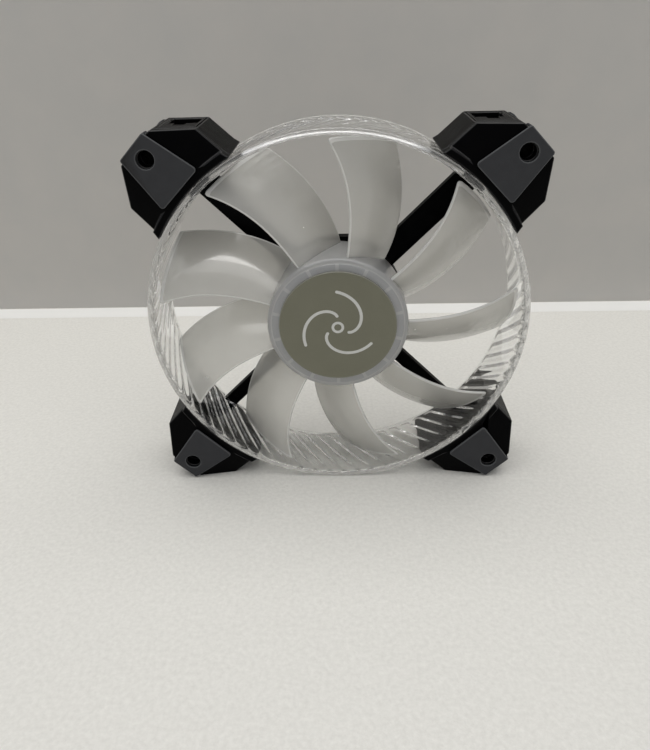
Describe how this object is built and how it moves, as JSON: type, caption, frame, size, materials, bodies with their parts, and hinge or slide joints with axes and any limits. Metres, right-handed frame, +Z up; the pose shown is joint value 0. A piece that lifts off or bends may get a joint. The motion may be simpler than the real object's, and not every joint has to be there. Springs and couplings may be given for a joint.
{
  "type": "case fan",
  "caption": "Square-format cooling fan for a computer case: clear ribbed duct ring, black corner blocks with grey pads, swept milky blades.",
  "frame": {"origin": "centre of the fan's bounding box, on the rotor's axis halfway between the front and rear pad faces", "axes": "+Y along the rotor's axis, the way the air flows; +Z up and +X to the right as seen from the intake side, with the fan standing on its lower corners"},
  "size_m": [0.1198, 0.025, 0.1198],
  "materials": {
    "clear_plastic": "clear polycarbonate, polished, with moulded slanted ribs",
    "milky_plastic": "milky translucent polycarbonate, satin gloss",
    "black_plastic": "black moulded plastic, fine satin grain",
    "grey_rubber": "dark grey soft rubber, matte",
    "badge_film": "olive grey satin film with a thin bright rim",
    "label_paper": "plain silver-grey label",
    "steel": "plain steel",
    "silicon_steel": "stacked silicon steel sheets",
    "brass": "turned brass",
    "bronze": "sintered bronze",
    "magnet_rubber": "rubber-bonded ferrite",
    "white_nylon": "natural nylon",
    "enamelled_copper": "enamelled copper winding",
    "circuit_board": "solder-masked glass-fibre board",
    "chip_black": "moulded epoxy",
    "lamp_white": "white lamp package",
    "gold_plating": "gold-plated contact",
    "felt": "oiled felt",
    "wire_black": "black wire insulation"
  },
  "bodies": {
    "frame": {"bearing_tube": "brass", "clear_ring": "clear_plastic", "coil_1": "enamelled_copper", "coil_2": "enamelled_copper", "coil_3": "enamelled_copper", "coil_4": "enamelled_copper", "contact_left_1": "gold_plating", "contact_left_2": "gold_plating", "contact_left_3": "gold_plating", "contact_left_4": "gold_plating", "contact_left_5": "gold_plating", "contact_right_1": "gold_plating", "contact_right_2": "gold_plating", "contact_right_3": "gold_plating", "contact_right_4": "gold_plating", "contact_right_5": "gold_plating", "corner_body_bottom_left": "black_plastic", "corner_body_bottom_right": "black_plastic", "corner_body_top_left": "black_plastic", "corner_body_top_right": "black_plastic", "corner_cap_bottom_left": "black_plastic", "corner_cap_bottom_right": "black_plastic", "corner_cap_top_left": "black_plastic", "corner_cap_top_right": "black_plastic", "driver_board": "circuit_board", "driver_chip": "chip_black", "front_pad_bottom_left": "grey_rubber", "front_pad_bottom_right": "grey_rubber", "front_pad_top_left": "grey_rubber", "front_pad_top_right": "grey_rubber", "hall_sensor": "chip_black", "insulator_front": "white_nylon", "insulator_rear": "white_nylon", "led_1": "lamp_white", "led_2": "lamp_white", "led_3": "lamp_white", "led_4": "lamp_white", "oil_seal": "felt", "rear_label": "label_paper", "rear_pad_bottom_left": "grey_rubber", "rear_pad_bottom_right": "grey_rubber", "rear_pad_top_left": "grey_rubber", "rear_pad_top_right": "grey_rubber", "sleeve_bearing": "bronze", "socket_board_left": "circuit_board", "socket_board_right": "circuit_board", "socket_left": "black_plastic", "socket_right": "black_plastic", "spider": "black_plastic", "stator_core": "silicon_steel", "thrust_pad": "white_nylon", "wire_ribbon_left": "wire_black", "wire_ribbon_right": "wire_black"},
    "rotor": {"impeller": "milky_plastic", "hub_badge": "badge_film", "rotor_yoke": "steel", "ring_magnet": "magnet_rubber", "shaft_bush": "brass", "shaft": "steel", "retaining_clip": "steel"}
  },
  "joints": [
    {"name": "rotor_spin", "type": "hinge", "parent": "frame", "child": "rotor", "pos_m": [0, 0, 0], "axis": [0, -1, 0], "continuous": true}
  ]
}
